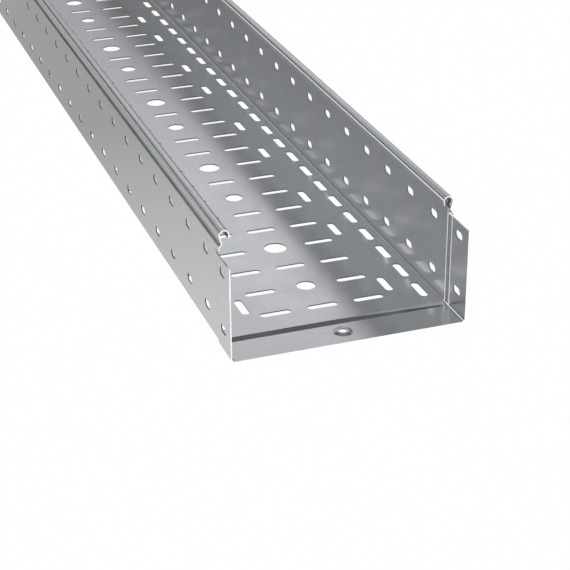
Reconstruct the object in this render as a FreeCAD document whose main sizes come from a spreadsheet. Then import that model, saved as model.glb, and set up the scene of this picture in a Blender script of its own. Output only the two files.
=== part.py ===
import FreeCAD, Part
import math
import os
import Sketcher

# Perforated cable tray: one length of folded and rolled steel sheet, lying open side up.
# The length runs along Y, the width along X and the walls rise along +Z. The origin is on
# the floor it lies on, in the middle of its length and width. The socket end, which takes
# the plain end of the next length, is at -Y.

# Driving sizes in millimetres (angles in degrees). Heights are above the underside of the
# tray's floor, and distances along the length are from the socket's front edge.
SIZES = (
    ("tray_length", 2000.0, "overall, with the socket"),
    ("tray_width", 200.0, "over the outside of the walls"),
    ("rim_height", 100.5, "top of the rolled rim"),
    ("sheet_thickness", 1.0, "steel sheet"),
    ("floor_bend_radius", 3.0, "outside of the bend between floor and wall"),
    ("neck_height", 85.9, "where the wall starts to lean in under the rim"),
    ("neck_bend_radius", 1.3, "outside of the bend at that height"),
    ("neck_angle", 45.0, "lean of the neck from upright"),
    ("neck_depth", 1.8, "how far the neck goes in from the wall"),
    ("crease_radius", 0.8, "outside of the crease at the bottom of the neck's groove"),
    ("rim_radius", 4.4, "outside of the rolled rim"),
    ("rim_setback", 0.25, "rim's outermost line in from the wall"),
    ("lip_angle", 8.0, "lean of the rim's free lip from upright"),
    ("lip_height", 92.7, "free edge of that lip"),
    ("socket_length", 31.4, "flat part of the socket"),
    ("ramp_length", 6.3, "step between the socket and the tray"),
    ("socket_play", 0.1, "room round the plain end of the next length"),
    ("socket_height", 81.0, "top edge of the socket's walls"),
    ("rim_inset", 29.5, "front end of the rolled rim"),
    ("slit_height", 83.5, "underside of the rim strip where it reaches over the ramp"),
    ("first_row", 65.0, "first row of floor and wall slots"),
    ("end_margin", 34.0, "least distance from the last row to the plain end"),
    ("slot_width", 7.0, "all slots"),
    ("floor_slot_length", 27.0, "slots in the floor"),
    ("floor_pitch", 40.0, "rows of floor slots"),
    ("period_rows", 5.0, "rows after which the floor's pattern repeats"),
    ("edge_slot_x", 88.0, "lengthwise slots beside the walls, from the middle"),
    ("quarter_slot_x", 64.5, "lengthwise slots next to them"),
    ("cross_slot_x", 41.4, "crosswise slots"),
    ("small_hole_diameter", 16.5, "small round hole in the middle"),
    ("large_hole_diameter", 20.5, "large round hole in the middle"),
    ("wall_slot_length", 13.5, "slots in the walls"),
    ("wall_pitch", 50.0, "columns of wall slots"),
    ("lower_slot_height", 20.0, "lower row of wall slots"),
    ("upper_slot_height", 70.0, "upper row of wall slots"),
    ("joint_hole_inset", 18.0, "joint slots and screw hole in the socket"),
    ("joint_slot_length", 13.0, "joint slots at both ends"),
    ("screw_hole_diameter", 7.0, "screw hole in the middle of each end"),
    ("dimple_diameter", 16.5, "raised dimple round the socket's screw hole"),
    ("dimple_crown_diameter", 10.0, "flat crown of that dimple"),
    ("dimple_height", 1.2, "rise of that dimple"),
)

# Expressions that several features share
STEP = "(Sizes.sheet_thickness + Sizes.socket_play)"
HALF_WIDTH = "Sizes.tray_width / 2"
JOGGLE_END = "(Sizes.socket_length + Sizes.ramp_length)"
PLAIN_END_INSET = "(Sizes.socket_length - Sizes.joint_hole_inset)"
PERIOD = "Sizes.period_rows * Sizes.floor_pitch"
FLOOR_SLOT = "Sizes.floor_slot_length"
WALL_ROWS = (
    ("_lower", f"{STEP} + Sizes.lower_slot_height"),
    ("_upper", f"{STEP} + Sizes.upper_slot_height"),
)

doc = FreeCAD.newDocument("CableTray")


def make_sheet():
    sheet = doc.addObject("Spreadsheet::Sheet", "Sizes")
    for row, (alias, value, meaning) in enumerate(SIZES, start=1):
        sheet.set(f"A{row}", meaning)
        sheet.set(f"B{row}", str(value))
        sheet.setAlias(f"B{row}", alias)
    doc.recompute()
    return sheet


sizes = make_sheet()


def value_of(expression):
    """Present value of an expression on the sheet."""
    quantity = sizes.evalExpression(expression.replace("Sizes.", ""))
    return float(getattr(quantity, "Value", quantity))


def origin_part(body, role):
    """Plane or axis of the body's origin."""
    for feature in body.Origin.OriginFeatures:
        if feature.Role == role:
            return feature
    raise ValueError(role)


def along_length(distance):
    """Expression for Y at a distance from the socket's front edge."""
    return f"{distance} - Sizes.tray_length / 2"


def add_sketch(body, name, role, offset="0"):
    """Sketch on one of the body's origin planes, moved along that plane's normal."""
    sketch = body.newObject("Sketcher::SketchObject", name)
    sketch.AttachmentSupport = (origin_part(body, role), "")
    sketch.MapMode = "FlatFace"
    sketch.setExpression(".AttachmentOffset.Base.z", offset)
    return sketch


def cross_section(body, name, distance):
    """Sketch across the tray, at a distance from the socket's front edge."""
    return add_sketch(body, name, "XZ_Plane", f"-({along_length(distance)})")


def point(x, y):
    return FreeCAD.Vector(x, y, 0)


def add_line(sketch, start, end):
    return sketch.addGeometry(Part.LineSegment(point(*start), point(*end)))


def add_arc(sketch, centre, radius, start_angle, end_angle):
    circle = Part.Circle(point(*centre), FreeCAD.Vector(0, 0, 1), radius)
    return sketch.addGeometry(Part.ArcOfCircle(circle, start_angle, end_angle))


def relate(sketch, *terms):
    sketch.addConstraint(Sketcher.Constraint(*terms))


def dimension(sketch, name, kind, terms, expression):
    """Named dimension that follows an expression on the sheet."""
    start_value = value_of(expression)
    if kind == "Angle":
        start_value = math.radians(start_value)
        expression = f"({expression}) * 1 deg"
    index = sketch.addConstraint(Sketcher.Constraint(kind, *terms, start_value))
    sketch.renameConstraint(index, name)
    sketch.setExpression(f"Constraints.{name}", expression)


# Sections of the sheet

START, END, CENTRE = 1, 2, 3
ORIGIN = (-1, 1)
VERTICAL_AXIS = -2


def trough_line(sketch, half_width, level, bend_radius, top):
    """Outer line of half a trough: floor, bend and wall. Returns floor and wall."""
    x_wall = value_of(half_width)
    z_floor = value_of(level)
    radius = value_of(bend_radius)
    z_top = value_of(top)
    floor = add_line(sketch, (0, z_floor), (x_wall - radius, z_floor))
    bend_centre = (x_wall - radius, z_floor + radius)
    bend = add_arc(sketch, bend_centre, radius, -math.pi / 2, 0)
    wall = add_line(sketch, (x_wall, z_floor + radius), (x_wall, z_top))
    relate(sketch, "Tangent", floor, END, bend, START)
    relate(sketch, "Tangent", bend, END, wall, START)
    relate(sketch, "PointOnObject", floor, START, VERTICAL_AXIS)
    relate(sketch, "Horizontal", floor)
    relate(sketch, "Vertical", wall)
    dimension(sketch, "half_width", "DistanceX", (*ORIGIN, wall, START), half_width)
    dimension(sketch, "bend_radius", "Radius", (bend,), bend_radius)
    dimension(sketch, "wall_top", "DistanceY", (*ORIGIN, wall, END), top)
    if z_floor == 0:
        relate(sketch, "PointOnObject", floor, START, -1)
    else:
        dimension(sketch, "level", "DistanceY", (*ORIGIN, floor, START), level)
    return floor, wall


def rim_line(sketch, wall):
    """Outer line of the neck and the rolled rim, joined to the top of the wall's line.

    The sheet leans in, turns back at a sharp crease, rises outwards and rolls over into an
    open rim whose free lip hangs down on the inside.
    """
    lean = math.radians(value_of("Sizes.neck_angle"))
    lip_lean = math.radians(value_of("Sizes.lip_angle"))
    neck_radius = value_of("Sizes.neck_bend_radius")
    crease_radius = value_of("Sizes.crease_radius")
    rim_radius = value_of("Sizes.rim_radius")
    x_wall = value_of(HALF_WIDTH)
    z_neck = value_of(f"{STEP} + Sizes.neck_height")
    z_lip = value_of(f"{STEP} + Sizes.lip_height")

    neck_centre = (x_wall - neck_radius, z_neck)
    neck = add_arc(sketch, neck_centre, neck_radius, 0, lean)
    slope_start = (
        neck_centre[0] + neck_radius * math.cos(lean),
        neck_centre[1] + neck_radius * math.sin(lean),
    )
    x_crease = x_wall - value_of("Sizes.neck_depth")
    z_crease = slope_start[1] + (slope_start[0] - x_crease) / math.tan(lean)
    slope = add_line(sketch, slope_start, (x_crease, z_crease))

    # The strip between the crease and the rim is tangent to both.
    crease_centre = (
        x_crease + crease_radius * math.cos(lean),
        z_crease + crease_radius * math.sin(lean),
    )
    rim_centre = (
        x_wall - value_of("Sizes.rim_setback") - rim_radius,
        value_of(f"{STEP} + Sizes.rim_height") - rim_radius,
    )
    rise_x = rim_centre[0] - crease_centre[0]
    rise_z = rim_centre[1] - crease_centre[1]
    crossing = math.asin((rim_radius + crease_radius) / math.hypot(rise_x, rise_z))
    strip_angle = math.atan2(rise_z, rise_x) - crossing
    side_angle = strip_angle + math.pi / 2
    crease = add_arc(sketch, crease_centre, crease_radius, side_angle, math.pi + lean)
    strip_start = (
        crease_centre[0] + crease_radius * math.cos(side_angle),
        crease_centre[1] + crease_radius * math.sin(side_angle),
    )
    strip_end = (
        rim_centre[0] - rim_radius * math.cos(side_angle),
        rim_centre[1] - rim_radius * math.sin(side_angle),
    )
    strip = add_line(sketch, strip_start, strip_end)
    rim = add_arc(sketch, rim_centre, rim_radius, side_angle - math.pi, math.pi + lip_lean)
    lip_start = (
        rim_centre[0] - rim_radius * math.cos(lip_lean),
        rim_centre[1] - rim_radius * math.sin(lip_lean),
    )
    x_lip = lip_start[0] + (lip_start[1] - z_lip) * math.tan(lip_lean)
    lip = add_line(sketch, lip_start, (x_lip, z_lip))

    relate(sketch, "Tangent", wall, END, neck, START)
    relate(sketch, "Tangent", neck, END, slope, START)
    relate(sketch, "Tangent", slope, END, crease, END)
    relate(sketch, "Tangent", crease, START, strip, START)
    relate(sketch, "Tangent", strip, END, rim, START)
    relate(sketch, "Tangent", rim, END, lip, START)
    dimension(sketch, "neck_bend_radius", "Radius", (neck,), "Sizes.neck_bend_radius")
    dimension(sketch, "neck_lean", "Angle", (slope,), "90 + Sizes.neck_angle")
    dimension(sketch, "neck_depth", "DistanceX", (slope, END, wall, END), "Sizes.neck_depth")
    dimension(sketch, "crease_radius", "Radius", (crease,), "Sizes.crease_radius")
    dimension(sketch, "rim_radius", "Radius", (rim,), "Sizes.rim_radius")
    rim_middle = "Sizes.rim_radius + Sizes.rim_setback"
    dimension(sketch, "rim_middle", "DistanceX", (rim, CENTRE, wall, END), rim_middle)
    rim_level = f"{STEP} + Sizes.rim_height - Sizes.rim_radius"
    dimension(sketch, "rim_level", "DistanceY", (*ORIGIN, rim, CENTRE), rim_level)
    lip_level = f"{STEP} + Sizes.lip_height"
    dimension(sketch, "lip_level", "DistanceY", (*ORIGIN, lip, END), lip_level)
    dimension(sketch, "lip_lean", "Angle", (lip,), "Sizes.lip_angle - 90")


def sheet_section(body, line_sketch, name):
    """Face one sheet thickness wide on the inside of an open outer line."""
    section = body.newObject("PartDesign::SubShapeBinder", name)
    section.Support = [(line_sketch, ("",))]
    section.setExpression("Offset", "Sizes.sheet_thickness")
    section.OffsetFill = True
    section.OffsetOpenResult = True
    section.MakeFace = True
    doc.recompute()
    return section


def add_pad(body, name, profile, length):
    pad = body.newObject("PartDesign::Pad", name)
    pad.Profile = (profile, [""])
    pad.setExpression("Length", length)
    doc.recompute()
    return pad


# Half of the tray: rolled rim length, joggle and socket


def add_tray_length(body):
    line = cross_section(body, "TrayLine", "Sizes.rim_inset")
    top = f"{STEP} + Sizes.neck_height"
    _, wall = trough_line(line, HALF_WIDTH, STEP, "Sizes.floor_bend_radius", top)
    rim_line(line, wall)
    section = sheet_section(body, line, "TraySection")
    return add_pad(body, "TrayLength", section, "Sizes.tray_length - Sizes.rim_inset")


def cut_below_rim(body):
    """Takes away floor and wall under the rim's front end, where the joggle goes."""
    sketch = cross_section(body, "JoggleGap", "Sizes.rim_inset")
    width = value_of("Sizes.tray_width")
    height = value_of(f"{STEP} + Sizes.slit_height")
    sides = (
        add_line(sketch, (0, 0), (width, 0)),
        add_line(sketch, (width, 0), (width, height)),
        add_line(sketch, (width, height), (0, height)),
        add_line(sketch, (0, height), (0, 0)),
    )
    for side, following in zip(sides, sides[1:] + sides[:1]):
        relate(sketch, "Coincident", side, END, following, START)
    relate(sketch, "Horizontal", sides[0])
    relate(sketch, "Horizontal", sides[2])
    relate(sketch, "Vertical", sides[1])
    relate(sketch, "Vertical", sides[3])
    relate(sketch, "Coincident", sides[0], START, *ORIGIN)
    dimension(sketch, "width", "DistanceX", (sides[0], START, sides[0], END), "Sizes.tray_width")
    slit = f"{STEP} + Sizes.slit_height"
    dimension(sketch, "height", "DistanceY", (sides[1], START, sides[1], END), slit)
    cut = body.newObject("PartDesign::Pocket", "JoggleCut")
    cut.Profile = sketch
    cut.setExpression("Length", f"{JOGGLE_END} - Sizes.rim_inset")
    doc.recompute()
    return cut


def add_joggle(body):
    """Ramp from the tray's section out to the socket, and the socket itself."""
    top = f"{STEP} + Sizes.socket_height"
    ramp_end_line = cross_section(body, "RampEndLine", JOGGLE_END)
    trough_line(ramp_end_line, HALF_WIDTH, STEP, "Sizes.floor_bend_radius", top)
    ramp_end = sheet_section(body, ramp_end_line, "RampEndSection")

    wide = f"{HALF_WIDTH} + {STEP}"
    wide_bend = f"Sizes.floor_bend_radius + {STEP}"
    ramp_start_line = cross_section(body, "RampStartLine", "Sizes.socket_length")
    trough_line(ramp_start_line, wide, "0", wide_bend, top)
    ramp_start = sheet_section(body, ramp_start_line, "RampStartSection")

    ramp = body.newObject("PartDesign::AdditiveLoft", "Ramp")
    ramp.Profile = (ramp_end, [""])
    ramp.Sections = [(ramp_start, [""])]
    ramp.Ruled = True
    doc.recompute()

    socket_line = cross_section(body, "SocketLine", "0")
    trough_line(socket_line, wide, "0", wide_bend, top)
    socket_section = sheet_section(body, socket_line, "SocketSection")
    add_pad(body, "Socket", socket_section, "Sizes.socket_length")


# Holes


def draw_slot(sketch, x, y, length, lengthwise, tag=""):
    """Slot with round ends, centred on (x, y), along the sketch's y axis if lengthwise."""
    radius = value_of("Sizes.slot_width") / 2
    reach = value_of(length) / 2 - radius
    middle_x = value_of(x)
    middle_y = value_of(y)
    turn = math.pi / 2 if lengthwise else 0
    along = (math.cos(turn), math.sin(turn))
    across = (-along[1], along[0])

    def corner(forward, sideways):
        return (
            middle_x + forward * along[0] + sideways * across[0],
            middle_y + forward * along[1] + sideways * across[1],
        )

    far_arc = add_arc(sketch, corner(reach, 0), radius, turn - math.pi / 2, turn + math.pi / 2)
    far_side = add_line(sketch, corner(reach, radius), corner(-reach, radius))
    near_arc = add_arc(sketch, corner(-reach, 0), radius, turn + math.pi / 2, turn + 1.5 * math.pi)
    near_side = add_line(sketch, corner(-reach, -radius), corner(reach, -radius))
    outline = (far_arc, far_side, near_arc, near_side)
    for piece, following in zip(outline, outline[1:] + outline[:1]):
        relate(sketch, "Tangent", piece, END, following, START)
    relate(sketch, "Equal", far_arc, near_arc)
    relate(sketch, "Vertical" if lengthwise else "Horizontal", far_side)
    dimension(sketch, f"radius{tag}", "Radius", (far_arc,), "Sizes.slot_width / 2")
    spread = f"{length} - Sizes.slot_width"
    kind = "DistanceY" if lengthwise else "DistanceX"
    dimension(sketch, f"spread{tag}", kind, (near_arc, CENTRE, far_arc, CENTRE), spread)
    near_x = x if lengthwise else f"{x} - ({spread}) / 2"
    near_y = f"{y} - ({spread}) / 2" if lengthwise else y
    place(sketch, near_arc, near_x, near_y, tag)


def draw_circle(sketch, x, y, diameter, tag=""):
    centre = point(value_of(x), value_of(y))
    circle = Part.Circle(centre, FreeCAD.Vector(0, 0, 1), value_of(diameter) / 2)
    hole = sketch.addGeometry(circle)
    dimension(sketch, f"diameter{tag}", "Diameter", (hole,), diameter)
    place(sketch, hole, x, y, tag)


def place(sketch, element, x, y, tag):
    """Fixes an element's centre, measured from the origin with positive distances."""
    for name, kind, axis, expression in (
        ("x", "DistanceX", VERTICAL_AXIS, x),
        ("y", "DistanceY", -1, y),
    ):
        distance = value_of(expression)
        if abs(distance) < 1e-9:
            relate(sketch, "PointOnObject", element, CENTRE, axis)
        elif distance > 0:
            terms = (*ORIGIN, element, CENTRE)
            dimension(sketch, f"{name}{tag}", kind, terms, expression)
        else:
            terms = (element, CENTRE, *ORIGIN)
            dimension(sketch, f"{name}{tag}", kind, terms, f"-({expression})")


def cut_floor(body, name, sketch):
    """Pocket through the floor alone, so that nothing is cut from the rim above it."""
    pocket = body.newObject("PartDesign::Pocket", name)
    pocket.Profile = sketch
    pocket.SideType = "Symmetric"
    depth = f"4 * ({STEP} + Sizes.sheet_thickness + Sizes.dimple_height)"
    pocket.setExpression("Length", depth)
    doc.recompute()
    return pocket


def cut_wall(body, name, sketch):
    """Pocket from the tray's middle plane out through the wall."""
    pocket = body.newObject("PartDesign::Pocket", name)
    pocket.Profile = sketch
    pocket.Reversed = True
    pocket.setExpression("Length", "Sizes.tray_width")
    doc.recompute()
    return pocket


def repeat(body, name, feature, pitch, count):
    """Repeats a feature along the length and makes the row the body's tip."""
    row = body.newObject("PartDesign::LinearPattern", name)
    row.Originals = [feature]
    row.Direction = (origin_part(body, "Y_Axis"), [""])
    row.Mode = "Spacing"
    row.setExpression("Offset", pitch)
    row.Occurrences = count
    body.Tip = row
    doc.recompute()
    return row


def count_from(first, pitch):
    """How many holes fit from a first distance up to the end margin."""
    last = value_of("Sizes.tray_length - Sizes.end_margin")
    return int((last - value_of(first)) // value_of(pitch)) + 1


def floor_row(rows):
    """Expression for the distance of a row, counted in floor pitches from the first."""
    return f"Sizes.first_row + {rows} * Sizes.floor_pitch"


def slot_rows(body, name, slots, first, pitch):
    """Floor slots, each (x, lengthwise), repeated at one pitch from a first distance on."""
    sketch = add_sketch(body, f"{name}Outline", "XY_Plane")
    for index, (x, lengthwise) in enumerate(slots):
        draw_slot(sketch, x, along_length(first), FLOOR_SLOT, lengthwise, f"_{index}")
    pocket = cut_floor(body, name, sketch)
    repeat(body, f"{name}Rows", pocket, pitch, count_from(first, pitch))


def cut_joint_holes(body):
    """Wall slots and screw hole near each end, which line up when two lengths are joined."""
    plain_end = f"Sizes.tray_length - {PLAIN_END_INSET}"
    for end, distance in (("Socket", "Sizes.joint_hole_inset"), ("PlainEnd", plain_end)):
        sketch = add_sketch(body, f"{end}SlotOutline", "YZ_Plane")
        for tag, height in WALL_ROWS:
            draw_slot(sketch, along_length(distance), height, "Sizes.joint_slot_length", False, tag)
        cut_wall(body, f"{end}Slots", sketch)
    sketch = add_sketch(body, "PlainEndScrewOutline", "XY_Plane")
    draw_circle(sketch, "0", along_length(plain_end), "Sizes.screw_hole_diameter")
    cut_floor(body, "PlainEndScrewHole", sketch)


def cut_middle_holes(body):
    """Slots and round holes in turn along the middle of the floor."""
    for row in range(int(value_of("Sizes.period_rows"))):
        first = floor_row(row)
        if row % 2 == 0:
            slot_rows(body, f"MiddleSlot{row}", [("0", False)], first, PERIOD)
            continue
        size = "small" if row % 4 == 1 else "large"
        sketch = add_sketch(body, f"MiddleHole{row}Outline", "XY_Plane")
        draw_circle(sketch, "0", along_length(first), f"Sizes.{size}_hole_diameter")
        pocket = cut_floor(body, f"MiddleHole{row}", sketch)
        repeat(body, f"MiddleHole{row}Rows", pocket, PERIOD, count_from(first, PERIOD))


def cut_quarter_slots(body):
    """Lengthwise slots that stand between rows, twice in each period."""
    slots = [("Sizes.quarter_slot_x", True)]
    slot_rows(body, "QuarterSlotA", slots, floor_row(0.5), PERIOD)
    slot_rows(body, "QuarterSlotB", slots, floor_row("(Sizes.period_rows - 1.5)"), PERIOD)


def cut_wall_slots(body):
    sketch = add_sketch(body, "WallSlotOutline", "YZ_Plane")
    first = "Sizes.first_row"
    pitch = "Sizes.wall_pitch"
    for tag, height in WALL_ROWS:
        draw_slot(sketch, along_length(first), height, "Sizes.wall_slot_length", False, tag)
    pocket = cut_wall(body, "WallSlots", sketch)
    repeat(body, "WallSlotColumns", pocket, pitch, count_from(first, pitch))


def cut_side_slots(body):
    """Slots that are in every row: lengthwise beside the wall and crosswise further in."""
    slots = [("Sizes.edge_slot_x", True), ("Sizes.cross_slot_x", False)]
    slot_rows(body, "SideSlots", slots, "Sizes.first_row", "Sizes.floor_pitch")


def mirror_half(body):
    whole = body.newObject("PartDesign::Mirrored", "BothSides")
    whole.TransformMode = "Whole shape"
    whole.MirrorPlane = (origin_part(body, "YZ_Plane"), [""])
    body.Tip = whole
    doc.recompute()
    return whole


def add_half_dimple(body):
    """Half of a raised dimple with the screw hole in its crown, turned about its axis."""
    inset = "Sizes.joint_hole_inset"
    sketch = add_sketch(body, "DimpleOutline", "XY_Plane")
    draw_circle(sketch, "0", along_length(inset), "Sizes.dimple_diameter")
    cut_floor(body, "DimpleCut", sketch)

    section = cross_section(body, "DimpleSection", inset)
    hole = value_of("Sizes.screw_hole_diameter / 2")
    crown = value_of("Sizes.dimple_crown_diameter / 2")
    foot = value_of("Sizes.dimple_diameter / 2")
    rise = value_of("Sizes.dimple_height")
    sheet = value_of("Sizes.sheet_thickness")
    corners = (
        (foot, 0),
        (foot, sheet),
        (crown, sheet + rise),
        (hole, sheet + rise),
        (hole, rise),
        (crown, rise),
    )
    sides = [
        add_line(section, start, end)
        for start, end in zip(corners, corners[1:] + corners[:1])
    ]
    for side, following in zip(sides, sides[1:] + sides[:1]):
        relate(section, "Coincident", side, END, following, START)
    foot_side, _, crown_top, hole_side, crown_under, _ = sides
    for upright in (foot_side, hole_side):
        relate(section, "Vertical", upright)
    for level in (crown_top, crown_under):
        relate(section, "Horizontal", level)
    relate(section, "PointOnObject", foot_side, START, -1)
    relate(section, "Vertical", crown_top, START, crown_under, END)
    sheet_size = "Sizes.sheet_thickness"
    dimension(section, "foot", "DistanceX", (*ORIGIN, foot_side, START), "Sizes.dimple_diameter / 2")
    dimension(section, "sheet", "DistanceY", (foot_side, START, foot_side, END), sheet_size)
    crown_size = "Sizes.dimple_crown_diameter / 2"
    dimension(section, "crown", "DistanceX", (*ORIGIN, crown_under, END), crown_size)
    dimension(section, "rise", "DistanceY", (*ORIGIN, crown_under, END), "Sizes.dimple_height")
    dimension(section, "crown_sheet", "DistanceY", (hole_side, END, hole_side, START), sheet_size)
    hole_size = "Sizes.screw_hole_diameter / 2"
    dimension(section, "hole", "DistanceX", (*ORIGIN, hole_side, START), hole_size)
    doc.recompute()
    dimple = body.newObject("PartDesign::Revolution", "Dimple")
    dimple.Profile = section
    dimple.ReferenceAxis = (section, ["V_Axis"])
    dimple.Angle = 180
    dimple.Midplane = True
    doc.recompute()
    return dimple


def build_tray():
    body = doc.addObject("PartDesign::Body", "TrayBody")
    body.Label = "tray_body"
    add_tray_length(body)
    cut_below_rim(body)
    add_joggle(body)
    add_half_dimple(body)
    cut_joint_holes(body)
    cut_quarter_slots(body)
    cut_middle_holes(body)
    cut_wall_slots(body)
    cut_side_slots(body)
    mirror_half(body)
    return body


def check_document():
    """Stops if any feature failed, or if the solid isn't one valid piece."""
    for item in doc.Objects:
        if "Invalid" in item.State or "Error" in item.State:
            raise RuntimeError(f"{item.Name} failed")
    for item in doc.Objects:
        if item.TypeId == "Sketcher::SketchObject" and not item.FullyConstrained:
            raise RuntimeError(f"{item.Name} isn't fully constrained")


def write_step(body):
    shape = body.Shape
    if shape.isNull() or not shape.isValid() or len(shape.Solids) != 1:
        raise RuntimeError(f"{body.Label} isn't one valid solid")
    box = shape.BoundBox
    print(f"{body.Label}: {box.XLength:.2f} x {box.YLength:.2f} x {box.ZLength:.2f} mm")
    print(f"volume {shape.Volume / 1000:.1f} cm3, {len(shape.Faces)} faces")
    shape.exportStep(f"parts/{body.Label}.step")


os.makedirs("parts", exist_ok=True)
tray = build_tray()
doc.recompute()
check_document()
write_step(tray)
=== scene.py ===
# %% [markdown]
# # A perforated cable tray in galvanised sheet steel
#
# The tray is one sheet of steel, punched, folded and rolled. Its solid comes from the
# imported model, so the shapes are fixed, and this lesson is about what makes bare metal
# look like metal: smooth faces beside crisp edges, a zinc skin with a faint bloom, bright
# sheared edges, and a studio that the metal can mirror.

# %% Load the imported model
import math
from types import SimpleNamespace

import bpy
from mathutils import Matrix, Vector


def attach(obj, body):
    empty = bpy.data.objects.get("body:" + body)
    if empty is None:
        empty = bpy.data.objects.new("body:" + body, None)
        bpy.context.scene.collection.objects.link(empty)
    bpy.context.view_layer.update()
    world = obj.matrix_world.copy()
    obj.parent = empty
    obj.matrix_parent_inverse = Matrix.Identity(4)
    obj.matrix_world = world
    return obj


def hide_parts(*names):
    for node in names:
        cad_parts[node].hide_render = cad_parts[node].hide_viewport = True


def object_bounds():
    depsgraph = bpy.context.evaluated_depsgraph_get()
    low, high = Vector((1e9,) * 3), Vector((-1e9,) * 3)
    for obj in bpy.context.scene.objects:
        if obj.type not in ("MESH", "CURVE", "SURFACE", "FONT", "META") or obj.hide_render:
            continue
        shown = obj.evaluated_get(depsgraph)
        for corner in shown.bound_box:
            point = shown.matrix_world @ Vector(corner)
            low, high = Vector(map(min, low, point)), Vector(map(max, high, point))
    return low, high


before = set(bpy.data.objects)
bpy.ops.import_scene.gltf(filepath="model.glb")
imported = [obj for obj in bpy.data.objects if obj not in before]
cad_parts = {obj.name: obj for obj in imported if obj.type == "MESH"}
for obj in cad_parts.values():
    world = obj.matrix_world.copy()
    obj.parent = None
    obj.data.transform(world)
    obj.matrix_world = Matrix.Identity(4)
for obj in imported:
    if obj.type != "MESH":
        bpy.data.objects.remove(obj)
cad_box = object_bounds()
low, high = (Vector(corner) for corner in cad_box)
print("tray size in metres:", [round(side, 4) for side in high - low])

# %% [markdown]
# ## The camera
#
# The photograph looks down into the tray from the left of its socket end, through a long
# lens that keeps the walls nearly parallel. A camera could be aimed by a constraint at
# the middle of the tray, but then a small turn is hard to set by itself. So it stands at
# a point given from the socket's front edge, and is turned by three plain angles: round
# the vertical, down, and a hair of roll, because the photograph isn't quite level.

# %% Place the camera
CAMERA_FROM_SOCKET = Vector((-0.4340, -1.0778, 0.6320))
TURN_RIGHT = math.radians(19.334)
LOOK_DOWN = math.radians(26.550)
ROLL = math.radians(-0.367)
LENS_MM = 103.9
SENSOR_MM = 36.0
NEAREST_SEEN = 0.05
FARTHEST_SEEN = 50

bpy.ops.object.select_all(action="DESELECT")
bpy.ops.object.camera_add()
camera = bpy.context.object
camera.name = "photo_camera"
camera.data.sensor_width = SENSOR_MM
camera.data.lens = LENS_MM
camera.data.clip_start = NEAREST_SEEN
camera.data.clip_end = FARTHEST_SEEN
socket_edge = Vector((0, low.y, 0))
turn = Matrix.Rotation(-TURN_RIGHT, 4, "Z")
tilt = Matrix.Rotation(math.pi / 2 - LOOK_DOWN, 4, "X")
lean = Matrix.Rotation(ROLL, 4, "Z")
camera.matrix_world = Matrix.Translation(socket_edge + CAMERA_FROM_SOCKET) @ turn @ tilt @ lean
bpy.context.scene.camera = camera
print("camera at", [round(value, 3) for value in camera.matrix_world.translation])

# %% [markdown]
# ## A tray that shades smoothly
#
# The imported mesh is loose triangles, so light breaks on every facet of the rolled rim. It
# could be shaded smooth all over, but then the punched and sheared edges look melted. So
# a copy is merged first, and then shaded smooth wherever two faces meet at less than a
# set angle. The folds and the rim turn soft, while punched and sheared edges stay crisp.
# The copy is shown in place of the imported node, which is hidden. The copy stands for the
# imported node, which stays in the physics model.

# %% Copy the tray and merge its triangles
MERGE_WITHIN = 1e-6

cad_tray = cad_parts["tray_body"]
bpy.ops.object.select_all(action="DESELECT")
cad_tray.select_set(True)
bpy.context.view_layer.objects.active = cad_tray
bpy.ops.object.duplicate()
tray = bpy.context.object
tray.name = "tray_sheet"
tray.parent = None
for key in list(tray.keys()):
    del tray[key]
bpy.ops.object.mode_set(mode="EDIT")
bpy.ops.mesh.select_all(action="SELECT")
bpy.ops.mesh.remove_doubles(threshold=MERGE_WITHIN)
bpy.ops.object.mode_set(mode="OBJECT")
print("tray mesh:", len(tray.data.polygons), "faces,", len(tray.data.vertices), "points")

# %% Smooth the folds and the rim
SMOOTH_UP_TO = math.radians(32)

bpy.ops.object.shade_smooth_by_angle(angle=SMOOTH_UP_TO)
print("smooth where faces meet at up to", round(math.degrees(SMOOTH_UP_TO)), "degrees")

# %% [markdown]
# Some edges are crisp and yet too gentle for that angle. The ramp between the socket and
# the tray slopes ten degrees, and the side of the dimple round the screw hole twenty. The
# angle could be made smaller, but the facets of the rim meet at eight and a half degrees,
# which is too close to tell them from the ramp. So these edges are marked sharp by where
# they lie.

# %% Mark the gentle creases sharp
SOCKET_LENGTH = 0.0314
RAMP_LENGTH = 0.0063
DIMPLE_FROM_EDGE = 0.018
DIMPLE_RADII = (0.005, 0.00825)
SAME_PLACE = 2e-5


def lies_on_a_crease(point):
    """True where the ramp or the dimple's slope begins or ends."""
    from_edge = point.y - low.y
    for crease in (SOCKET_LENGTH, SOCKET_LENGTH + RAMP_LENGTH):
        if abs(from_edge - crease) < SAME_PLACE:
            return True
    reach = math.hypot(point.x, from_edge - DIMPLE_FROM_EDGE)
    return any(abs(reach - radius) < SAME_PLACE for radius in DIMPLE_RADII)


on_crease = [lies_on_a_crease(point.co) for point in tray.data.vertices]
creases = 0
for edge in tray.data.edges:
    if on_crease[edge.vertices[0]] and on_crease[edge.vertices[1]]:
        edge.use_edge_sharp = True
        creases += 1
print("creases marked:", creases)

# %% [markdown]
# On a big flat face each point still leans a little towards the fold beside it, and the
# reflections swell there, while a wide, flat floor has to mirror like one sheet. The floor
# could be cut into more faces near its folds, but the weighted normal modifier needs no
# new faces. It turns each point towards its largest face, most of all at a weight of 100.

# %% Let the large faces lead
FACE_WEIGHT = 100

bpy.ops.object.modifier_add(type="WEIGHTED_NORMAL")
tray.modifiers[-1].keep_sharp = True
tray.modifiers[-1].weight = FACE_WEIGHT
bpy.ops.object.modifier_apply(modifier=tray.modifiers[-1].name)
print("modifiers left on the tray:", len(tray.modifiers))

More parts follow.
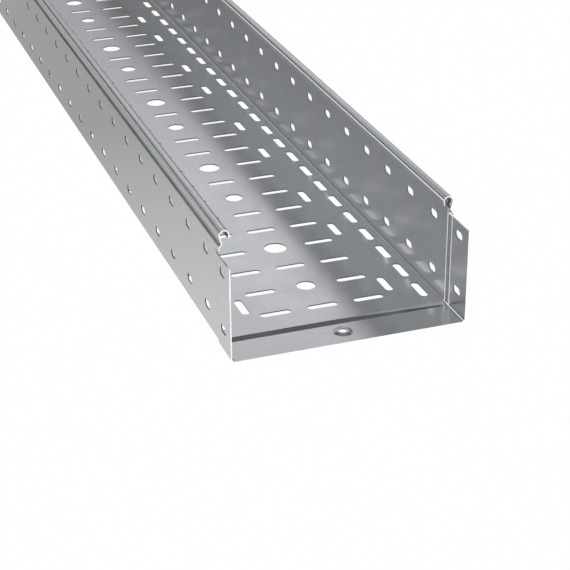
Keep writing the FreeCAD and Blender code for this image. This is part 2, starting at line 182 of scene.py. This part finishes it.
# %% [markdown]
# ## Galvanised steel
#
# Zinc is a grey mirror seen through a slightly rough skin. It could be a plain grey paint,
# but then the slopes of the sheet would hardly show. So Metallic is 1, the colour is the
# tint of its reflections, and the roughness decides how soft they are. A real sheet isn't
# even: the zinc crystals and the rolls leave a faint cloudy bloom. A large soft noise moves
# the colour and the roughness a little, a smaller one speckles the colour, and a fine one
# gives the surface a barely visible tooth.
#
# The first helpers only make nodes shorter to write.

# %% Helpers for node materials
def new_material(name):
    material = bpy.data.materials.new(name)
    material.use_nodes = True
    nodes = material.node_tree.nodes
    nodes.clear()
    output = nodes.new("ShaderNodeOutputMaterial")
    shader = nodes.new("ShaderNodeBsdfPrincipled")
    material.node_tree.links.new(shader.outputs["BSDF"], output.inputs["Surface"])
    return material, shader


def add_node(material, kind, **settings):
    node = material.node_tree.nodes.new(kind)
    for name, value in settings.items():
        setattr(node, name, value)
    return node


def link(material, source, target):
    material.node_tree.links.new(source, target)


def noise(material, scale, detail):
    """Noise on object coordinates, with its size in features per metre."""
    place = add_node(material, "ShaderNodeTexCoord")
    texture = add_node(material, "ShaderNodeTexNoise")
    texture.inputs["Scale"].default_value = scale
    texture.inputs["Detail"].default_value = detail
    link(material, place.outputs["Object"], texture.inputs["Vector"])
    return texture.outputs["Fac"]


# %% [markdown]
# Noise mostly lies between 0.3 and 0.7, so a value is moved from that range if no other
# is given. A mix node has sockets for every kind of value, and several share a name, so
# those for colours are found by their number.

# %% Helpers that turn one value into another
NOISE_LOW = 0.3
NOISE_HIGH = 0.7
MIX_FACTOR = 0
MIX_COLOURS = (6, 7)
MIX_RESULT = 2


def remap(material, value, low_out, high_out, low_in=NOISE_LOW, high_in=NOISE_HIGH):
    """Move a value from one range to another, and hold it at both ends."""
    node = add_node(material, "ShaderNodeMapRange")
    for name, number in (
        ("From Min", low_in),
        ("From Max", high_in),
        ("To Min", low_out),
        ("To Max", high_out),
    ):
        node.inputs[name].default_value = number
    link(material, value, node.inputs["Value"])
    return node.outputs["Result"]


def blend_colours(material, factor, first, second):
    node = add_node(material, "ShaderNodeMix", data_type="RGBA")
    link(material, factor, node.inputs[MIX_FACTOR])
    for index, colour in zip(MIX_COLOURS, (first, second)):
        if isinstance(colour, bpy.types.NodeSocket):
            link(material, colour, node.inputs[index])
        else:
            node.inputs[index].default_value = (*colour, 1)
    return node.outputs[MIX_RESULT]


def combine(material, operation, *values):
    """Math node on sockets or plain numbers."""
    node = add_node(material, "ShaderNodeMath", operation=operation)
    for index, value in enumerate(values):
        if isinstance(value, bpy.types.NodeSocket):
            link(material, value, node.inputs[index])
        else:
            node.inputs[index].default_value = value
    return node.outputs["Value"]


# %% [markdown]
# ### Where the finish changes
#
# A few places differ from the skin, and each is found by where a point is and which way
# its face looks. They could be painted by hand on the mesh, but paint on a mesh is only as
# fine as its faces, and a line here is about a millimetre wide. A mask is 1 inside its
# place and 0 outside, so masks are joined by multiplying them or by taking the larger one.

# %% Helpers for masks
def above(material, value, limit):
    """1 where a value is over a limit, else 0."""
    return combine(material, "GREATER_THAN", value, limit)


def below(material, value, limit):
    """1 where a value is under a limit, else 0."""
    return combine(material, "LESS_THAN", value, limit)


def near(material, value, centre, reach):
    """1 where a value is within reach of a centre, else 0."""
    return combine(material, "COMPARE", value, centre, reach)


def all_of(material, *masks):
    result = masks[0]
    for mask in masks[1:]:
        result = combine(material, "MULTIPLY", result, mask)
    return result


def any_of(material, *masks):
    result = masks[0]
    for mask in masks[1:]:
        result = combine(material, "MAXIMUM", result, mask)
    return result


# %% Read where a point is and which way it looks
def read_surface(material):
    """Place and facing of a point.

    The names that start with out are how far a face looks along an axis, either way. The
    value inward is the place across the tray times the facing across it, so it is
    negative on a face that looks towards the middle.
    """
    here = add_node(material, "ShaderNodeTexCoord")
    place = add_node(material, "ShaderNodeSeparateXYZ")
    facing = add_node(material, "ShaderNodeSeparateXYZ")
    link(material, here.outputs["Object"], place.inputs["Vector"])
    link(material, here.outputs["Normal"], facing.inputs["Vector"])
    x, y, z = (place.outputs[axis] for axis in "XYZ")
    out_x, out_y, out_z = (
        combine(material, "ABSOLUTE", facing.outputs[axis]) for axis in "XYZ"
    )
    return SimpleNamespace(
        x=x,
        y=y,
        z=z,
        side=combine(material, "ABSOLUTE", x),
        out_x=out_x,
        out_y=out_y,
        out_z=out_z,
        facing_z=facing.outputs["Z"],
        inward=combine(material, "MULTIPLY", x, facing.outputs["X"]),
    )


# %% [markdown]
# Bare metal is rough and pale, because it takes light from every side. It could be a
# rougher metal, but that only mirrors a softer studio. So Metallic falls to 0 where the
# metal is bare, and the lamp lights it like chalk. It shows on the sheared end faces. The
# same pale finish is also used as painted highlights and painted light: a painted
# highlight line along the inside of the rims, painted light on the necks under the rims,
# a painted highlight in the folds of the socket, and painted highlight lines on the walls
# where the joggle begins and ends.

# %% Bare metal on the sheared ends, painted highlights on lines
LINE_REACH = 0.0004
RIM_FRONT = 0.0295
SQUARE_ON = 0.9
JOGGLE_HIGHLIGHT_REACH = 0.0006
WALL_INSIDE = 0.0975
LOOKS_IN = -0.06
RIM_HIGHLIGHT_HEIGHT = 0.0983
RIM_HIGHLIGHT_REACH = 0.0006
RIM_INSIDE = 0.093


def sheared_ends(material, at):
    ends = any_of(
        material,
        near(material, at.y, low.y, LINE_REACH),
        near(material, at.y, high.y, LINE_REACH),
        near(material, at.y, low.y + RIM_FRONT, LINE_REACH),
    )
    return all_of(material, ends, above(material, at.out_y, SQUARE_ON))


# Painted highlight: pale lines on the walls where the joggle begins and ends.
def joggle_highlights(material, at):
    lines = any_of(
        material,
        near(material, at.y, low.y + SOCKET_LENGTH, JOGGLE_HIGHLIGHT_REACH),
        near(material, at.y, low.y + SOCKET_LENGTH + RAMP_LENGTH, JOGGLE_HIGHLIGHT_REACH),
    )
    on_wall = above(material, at.side, WALL_INSIDE)
    return all_of(material, lines, on_wall, below(material, at.inward, LOOKS_IN))


# Painted highlight: a pale line along the inside of each rim.
def rim_highlight(material, at):
    line = near(material, at.z, RIM_HIGHLIGHT_HEIGHT, RIM_HIGHLIGHT_REACH)
    on_rim = below(material, at.side, RIM_INSIDE)
    return all_of(material, line, on_rim, below(material, at.inward, LOOKS_IN))


# %% Painted light under the rims and a painted highlight in the socket's folds
NECK_HEIGHT = 0.086
NECK_LOOKS_IN = -0.02
NECK_LOOKS_DOWN = -0.3
HALFWAY_ROUND = 0.62
NEAR_FLOOR = 0.0045


# Painted light: the down-facing necks under the rims are made pale, which lightens their
# shade.
def neck_painted_light(material, at):
    return all_of(
        material,
        below(material, at.inward, NECK_LOOKS_IN),
        below(material, at.facing_z, NECK_LOOKS_DOWN),
        above(material, at.z, NECK_HEIGHT),
    )


# Painted highlight: a pale line in the folds of the socket, near the floor.
def socket_fold_highlights(material, at):
    return all_of(
        material,
        below(material, at.y, low.y + SOCKET_LENGTH + RAMP_LENGTH),
        above(material, at.out_x, HALFWAY_ROUND),
        above(material, at.facing_z, HALFWAY_ROUND),
        below(material, at.z, NEAR_FLOOR),
    )


# %% [markdown]
# The upper part of the socket's ramp gets a painted sheen, a little paler towards the right,
# which leaves a dark band that narrows. The painted sheen goes only part of the way to the
# bare metal's colour.

# %% The painted sheen on the ramp
RAMP_SHEEN_SHARE = 0.30
DARK_RAMP_RIGHT = 0.0020
RIGHT_FOLD = 0.095


# Painted sheen: the paler upper part of the ramp, a share of the way to the pale colour.
def painted_ramp_sheen(material, at):
    up_ramp = combine(material, "SUBTRACT", at.y, low.y + SOCKET_LENGTH)
    dark_part = remap(material, at.x, RAMP_LENGTH, DARK_RAMP_RIGHT, 0.0, RIGHT_FOLD)
    pale_part = all_of(
        material,
        near(material, up_ramp, RAMP_LENGTH / 2, RAMP_LENGTH / 2),
        above(material, up_ramp, dark_part),
        below(material, at.side, WALL_INSIDE),
        below(material, at.z, NEAR_FLOOR),
    )
    return combine(material, "MULTIPLY", pale_part, RAMP_SHEEN_SHARE)


# %% [markdown]
# The walls of the punched holes are painted dark and made rougher: painted shade where
# shade falls inside each hole. They could keep the finish of the skin, but without the
# painted shade each slot looks cut out of paper.

# %% Painted shade on the walls of the punched holes
FLOOR_HOLES_REACH = 0.094
WALL_HOLES_HEIGHT = 0.046
WALL_HOLES_REACH = 0.034
TURNED_AWAY = 0.5


# Painted shade: hole walls are made dark and rougher where shade falls inside the holes.
def painted_hole_wall_shade(material, at, bare_and_highlights):
    in_floor = all_of(
        material,
        below(material, at.z, NEAR_FLOOR),
        below(material, at.side, FLOOR_HOLES_REACH),
        below(material, at.out_z, TURNED_AWAY),
    )
    in_wall = all_of(
        material,
        near(material, at.z, WALL_HOLES_HEIGHT, WALL_HOLES_REACH),
        above(material, at.side, WALL_INSIDE),
        below(material, at.out_x, TURNED_AWAY),
    )
    outside_bare_and_highlights = combine(material, "SUBTRACT", 1.0, bare_and_highlights)
    return all_of(material, any_of(material, in_floor, in_wall), outside_bare_and_highlights)


# %% [markdown]
# With the masks at hand, the finish is the zinc first, then the painted shade on the walls
# of the holes over it, then the bare metal and the painted highlights over both.

# %% Make the galvanised finish
ZINC_DARK = (0.620, 0.628, 0.638)
ZINC_LIGHT = (0.695, 0.703, 0.713)
# Colour of the painted shade on the hole walls.
HOLE_WALL_SHADE = (0.13, 0.13, 0.135)
# Pale colour of the bare sheared ends, also used for the painted highlights and painted light.
BARE_AND_HIGHLIGHT_COLOUR = (0.93, 0.93, 0.94)
BLOOM_PER_METRE = 22.0
SPECKLE_PER_METRE = 240.0
TOOTH_PER_METRE = 900.0
BLOOM_SHARE = 0.5
SMOOTHEST = 0.20
ROUGHEST = 0.25
ADDED_ROUGHNESS = 0.3
TOOTH_STRENGTH = 0.04
TOOTH_DEPTH = 0.0002


def galvanised_finish():
    material, shader = new_material("galvanised_steel")
    at = read_surface(material)
    # Sheared ends are bare metal; the other masks here are painted highlights and painted
    # light.
    bare_and_highlights = any_of(
        material,
        sheared_ends(material, at),
        joggle_highlights(material, at),
        rim_highlight(material, at),
        socket_fold_highlights(material, at),
        painted_ramp_sheen(material, at),
        neck_painted_light(material, at),
    )
    hole_shade = painted_hole_wall_shade(material, at, bare_and_highlights)

    bloom = noise(material, BLOOM_PER_METRE, detail=4.0)
    speckle = noise(material, SPECKLE_PER_METRE, detail=3.0)
    cloud = combine(
        material,
        "ADD",
        combine(material, "MULTIPLY", remap(material, bloom, 0, 1), BLOOM_SHARE),
        combine(material, "MULTIPLY", remap(material, speckle, 0, 1), 1 - BLOOM_SHARE),
    )
    zinc = blend_colours(material, cloud, ZINC_DARK, ZINC_LIGHT)
    colour = blend_colours(material, hole_shade, zinc, HOLE_WALL_SHADE)
    colour = blend_colours(material, bare_and_highlights, colour, BARE_AND_HIGHLIGHT_COLOUR)
    link(material, colour, shader.inputs["Base Color"])
    link(material, combine(material, "SUBTRACT", 1.0, bare_and_highlights), shader.inputs["Metallic"])
    roughness = remap(material, bloom, SMOOTHEST, ROUGHEST)
    dull = combine(material, "MULTIPLY", any_of(material, bare_and_highlights, hole_shade), ADDED_ROUGHNESS)
    link(material, combine(material, "ADD", roughness, dull), shader.inputs["Roughness"])

    tooth = add_node(material, "ShaderNodeBump")
    tooth.inputs["Strength"].default_value = TOOTH_STRENGTH
    tooth.inputs["Distance"].default_value = TOOTH_DEPTH
    link(material, noise(material, TOOTH_PER_METRE, detail=2.0), tooth.inputs["Height"])
    link(material, tooth.outputs["Normal"], shader.inputs["Normal"])
    return material


tray.data.materials.clear()
tray.data.materials.append(galvanised_finish())
cad_tray.data.materials.clear()
cad_tray.data.materials.append(tray.data.materials[0])
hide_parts("tray_body")
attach(tray, "root")
print("finish:", tray.data.materials[0].name)

# %% [markdown]
# ## The studio
#
# Bare metal shows its surroundings, so the surroundings are most of the look. They could
# be a whole modelled room, but only the slopes of the sheet matter here, and a few levels
# of light by height are easier to read and to change.
#
# The tray stands on white paper. For the camera the paper glows plain white and keeps
# next to no shadow, as in the photograph. The outer wall mirrors the paper, so it has a
# level that only reflections see: dimmer beside the tray than in front of it, and
# brighter again beyond its far end, where the rolled rim mirrors it as a light line.

# %% White paper on the ground
PAPER_COLOUR = (0.9, 0.9, 0.9)
PAPER_ROUGHNESS = 1.0
PAPER_REACH = 40.0
PAPER_BELOW = 0.0002
GLOW_SHARE = 0.985
GLOW_SEEN = 1.0
GLOW_MIRRORED_NEAR = 0.76
GLOW_MIRRORED_FAR = 0.45
GLOW_FADE = (-0.92, -0.45)
GLOW_ADDED_BEHIND = 0.55
GLOW_RISE = (1.0, 2.0)


def paper_finish():
    material, shader = new_material("white_paper")
    shader.inputs["Base Color"].default_value = (*PAPER_COLOUR, 1)
    shader.inputs["Roughness"].default_value = PAPER_ROUGHNESS
    rays = add_node(material, "ShaderNodeLightPath")
    camera_ray = rays.outputs["Is Camera Ray"]
    glossy_ray = rays.outputs["Is Glossy Ray"]
    here = add_node(material, "ShaderNodeTexCoord")
    place = add_node(material, "ShaderNodeSeparateXYZ")
    link(material, here.outputs["Object"], place.inputs["Vector"])
    y = place.outputs["Y"]
    beside = remap(material, y, GLOW_MIRRORED_NEAR, GLOW_MIRRORED_FAR, *GLOW_FADE)
    behind = remap(material, y, 0, GLOW_ADDED_BEHIND, *GLOW_RISE)
    mirrored = combine(material, "ADD", beside, behind)
    glow = add_node(material, "ShaderNodeEmission")
    level = combine(
        material,
        "ADD",
        combine(material, "MULTIPLY", camera_ray, GLOW_SEEN),
        combine(material, "MULTIPLY", glossy_ray, mirrored),
    )
    link(material, level, glow.inputs["Strength"])
    share = combine(material, "MULTIPLY", any_of(material, camera_ray, glossy_ray), GLOW_SHARE)
    mix = add_node(material, "ShaderNodeMixShader")
    sources = (share, shader.outputs["BSDF"], glow.outputs["Emission"])
    for source, socket in zip(sources, mix.inputs):
        link(material, source, socket)
    output = next(n for n in material.node_tree.nodes if n.type == "OUTPUT_MATERIAL")
    link(material, mix.outputs["Shader"], output.inputs["Surface"])
    return material


bpy.ops.object.select_all(action="DESELECT")
bpy.ops.mesh.primitive_plane_add(size=PAPER_REACH, location=(0, 0, low.z - PAPER_BELOW))
paper = bpy.context.object
paper.name = "white_paper"
paper.data.materials.append(paper_finish())
print("paper:", round(PAPER_REACH), "metres wide")

# %% [markdown]
# A soft lamp stands at the front on the left. It could be an area lamp at a place, but a
# sun gives the whole length of the tray the same light. The smooth zinc mirrors it away
# from the camera, so only the rough bare edges catch it and turn pale.

# %% The soft lamp
LAMP_ENERGY = 2.5
LAMP_ANGLE = math.radians(20)
LAMP_FROM = Vector((-0.5, -0.75, 0.6))

bpy.ops.object.select_all(action="DESELECT")
bpy.ops.object.light_add(type="SUN")
lamp = bpy.context.object
lamp.name = "front_lamp"
lamp.data.energy = LAMP_ENERGY
lamp.data.angle = LAMP_ANGLE
lamp.rotation_euler = LAMP_FROM.to_track_quat("Z", "Y").to_euler()
print("lamp shines from", [round(value, 2) for value in LAMP_FROM])

# %% [markdown]
# All round the tray a band of light hangs low over the horizon, brighter on the right
# than on the left, and above that band the studio is dim. A face then turns light or dark
# with its slope. The flat floor mirrors the bright band, and the small ramp at the socket
# mirrors the dim part above it. The right half of the floor mirrors the wall, which
# mirrors the weaker left side of the studio. A little over the horizon the left side is
# dark, and that draws a dark line along the rolled rim beside the light one.
#
# Each pair below is a height and a level of light. The height is the sine of the angle
# over the horizon, so it is 0 at the horizon and 1 straight up.

# %% The light in the studio
SKY_RIGHT = (
    (0.00, 0.50),
    (0.17, 0.50),
    (0.30, 0.46),
    (0.36, 0.54),
    (0.426, 1.36),
    (0.465, 0.92),
    (0.52, 0.52),
    (0.60, 0.24),
    (0.67, 0.08),
    (1.00, 0.30),
)
SKY_LEFT = (
    (0.00, 1.00),
    (0.05, 0.70),
    (0.11, 0.05),
    (0.24, 0.08),
    (0.35, 0.54),
    (0.42, 0.64),
    (0.48, 0.60),
    (0.55, 0.34),
    (0.60, 0.18),
    (0.67, 0.07),
    (1.00, 0.30),
)
TINT_RIGHT = (0.985, 0.990, 1.020)
TINT_LEFT = (0.965, 1.000, 1.020)
SIDE_FADE = 0.25
HALFWAY_UP = 0.5


def sky_ramp(nodes, levels, tint):
    """Colour ramp whose new stops start halfway up and then move to their heights."""
    ramp = nodes.new("ShaderNodeValToRGB")
    ramp.color_ramp.interpolation = "EASE"
    stops = ramp.color_ramp.elements
    while len(stops) < len(levels):
        stops.new(HALFWAY_UP)
    for stop, (height, level) in zip(stops, levels):
        stop.position = height
        stop.color = (*(level * share for share in tint), 1)
    return ramp


def studio_light(nodes, links):
    """Background that is lit by height, and by side with a soft change in the middle."""
    place = nodes.new("ShaderNodeTexCoord")
    axes = nodes.new("ShaderNodeSeparateXYZ")
    links.new(place.outputs["Generated"], axes.inputs["Vector"])
    side = nodes.new("ShaderNodeMapRange")
    side.interpolation_type = "SMOOTHSTEP"
    side.inputs["From Min"].default_value = -SIDE_FADE
    side.inputs["From Max"].default_value = SIDE_FADE
    links.new(axes.outputs["X"], side.inputs["Value"])
    blend = nodes.new("ShaderNodeMix")
    blend.data_type = "RGBA"
    links.new(side.outputs["Result"], blend.inputs[MIX_FACTOR])
    sides = ((SKY_LEFT, TINT_LEFT), (SKY_RIGHT, TINT_RIGHT))
    for index, (levels, tint) in zip(MIX_COLOURS, sides):
        ramp = sky_ramp(nodes, levels, tint)
        links.new(axes.outputs["Z"], ramp.inputs["Fac"])
        links.new(ramp.outputs["Color"], blend.inputs[index])
    sky = nodes.new("ShaderNodeBackground")
    links.new(blend.outputs[MIX_RESULT], sky.inputs["Color"])
    return sky


# %% [markdown]
# The photograph has a plain white background, and the studio is grey in places. A white
# card could stand behind the tray, but the metal would mirror it. So the camera sees
# white where it looks past the paper, and everything else sees the studio.

# %% Set the world
def set_world():
    world = bpy.data.worlds.new("studio")
    bpy.context.scene.world = world
    world.use_nodes = True
    nodes = world.node_tree.nodes
    links = world.node_tree.links
    nodes.clear()
    sky = studio_light(nodes, links)
    white = nodes.new("ShaderNodeBackground")
    white.inputs["Color"].default_value = (1, 1, 1, 1)
    rays = nodes.new("ShaderNodeLightPath")
    mix = nodes.new("ShaderNodeMixShader")
    output = nodes.new("ShaderNodeOutputWorld")
    sources = (
        rays.outputs["Is Camera Ray"],
        sky.outputs["Background"],
        white.outputs["Background"],
    )
    for source, socket in zip(sources, mix.inputs):
        links.new(source, socket)
    links.new(mix.outputs["Shader"], output.inputs["Surface"])
    return world


world = set_world()
bpy.context.scene.view_settings.view_transform = "Standard"
print("world:", world.name)
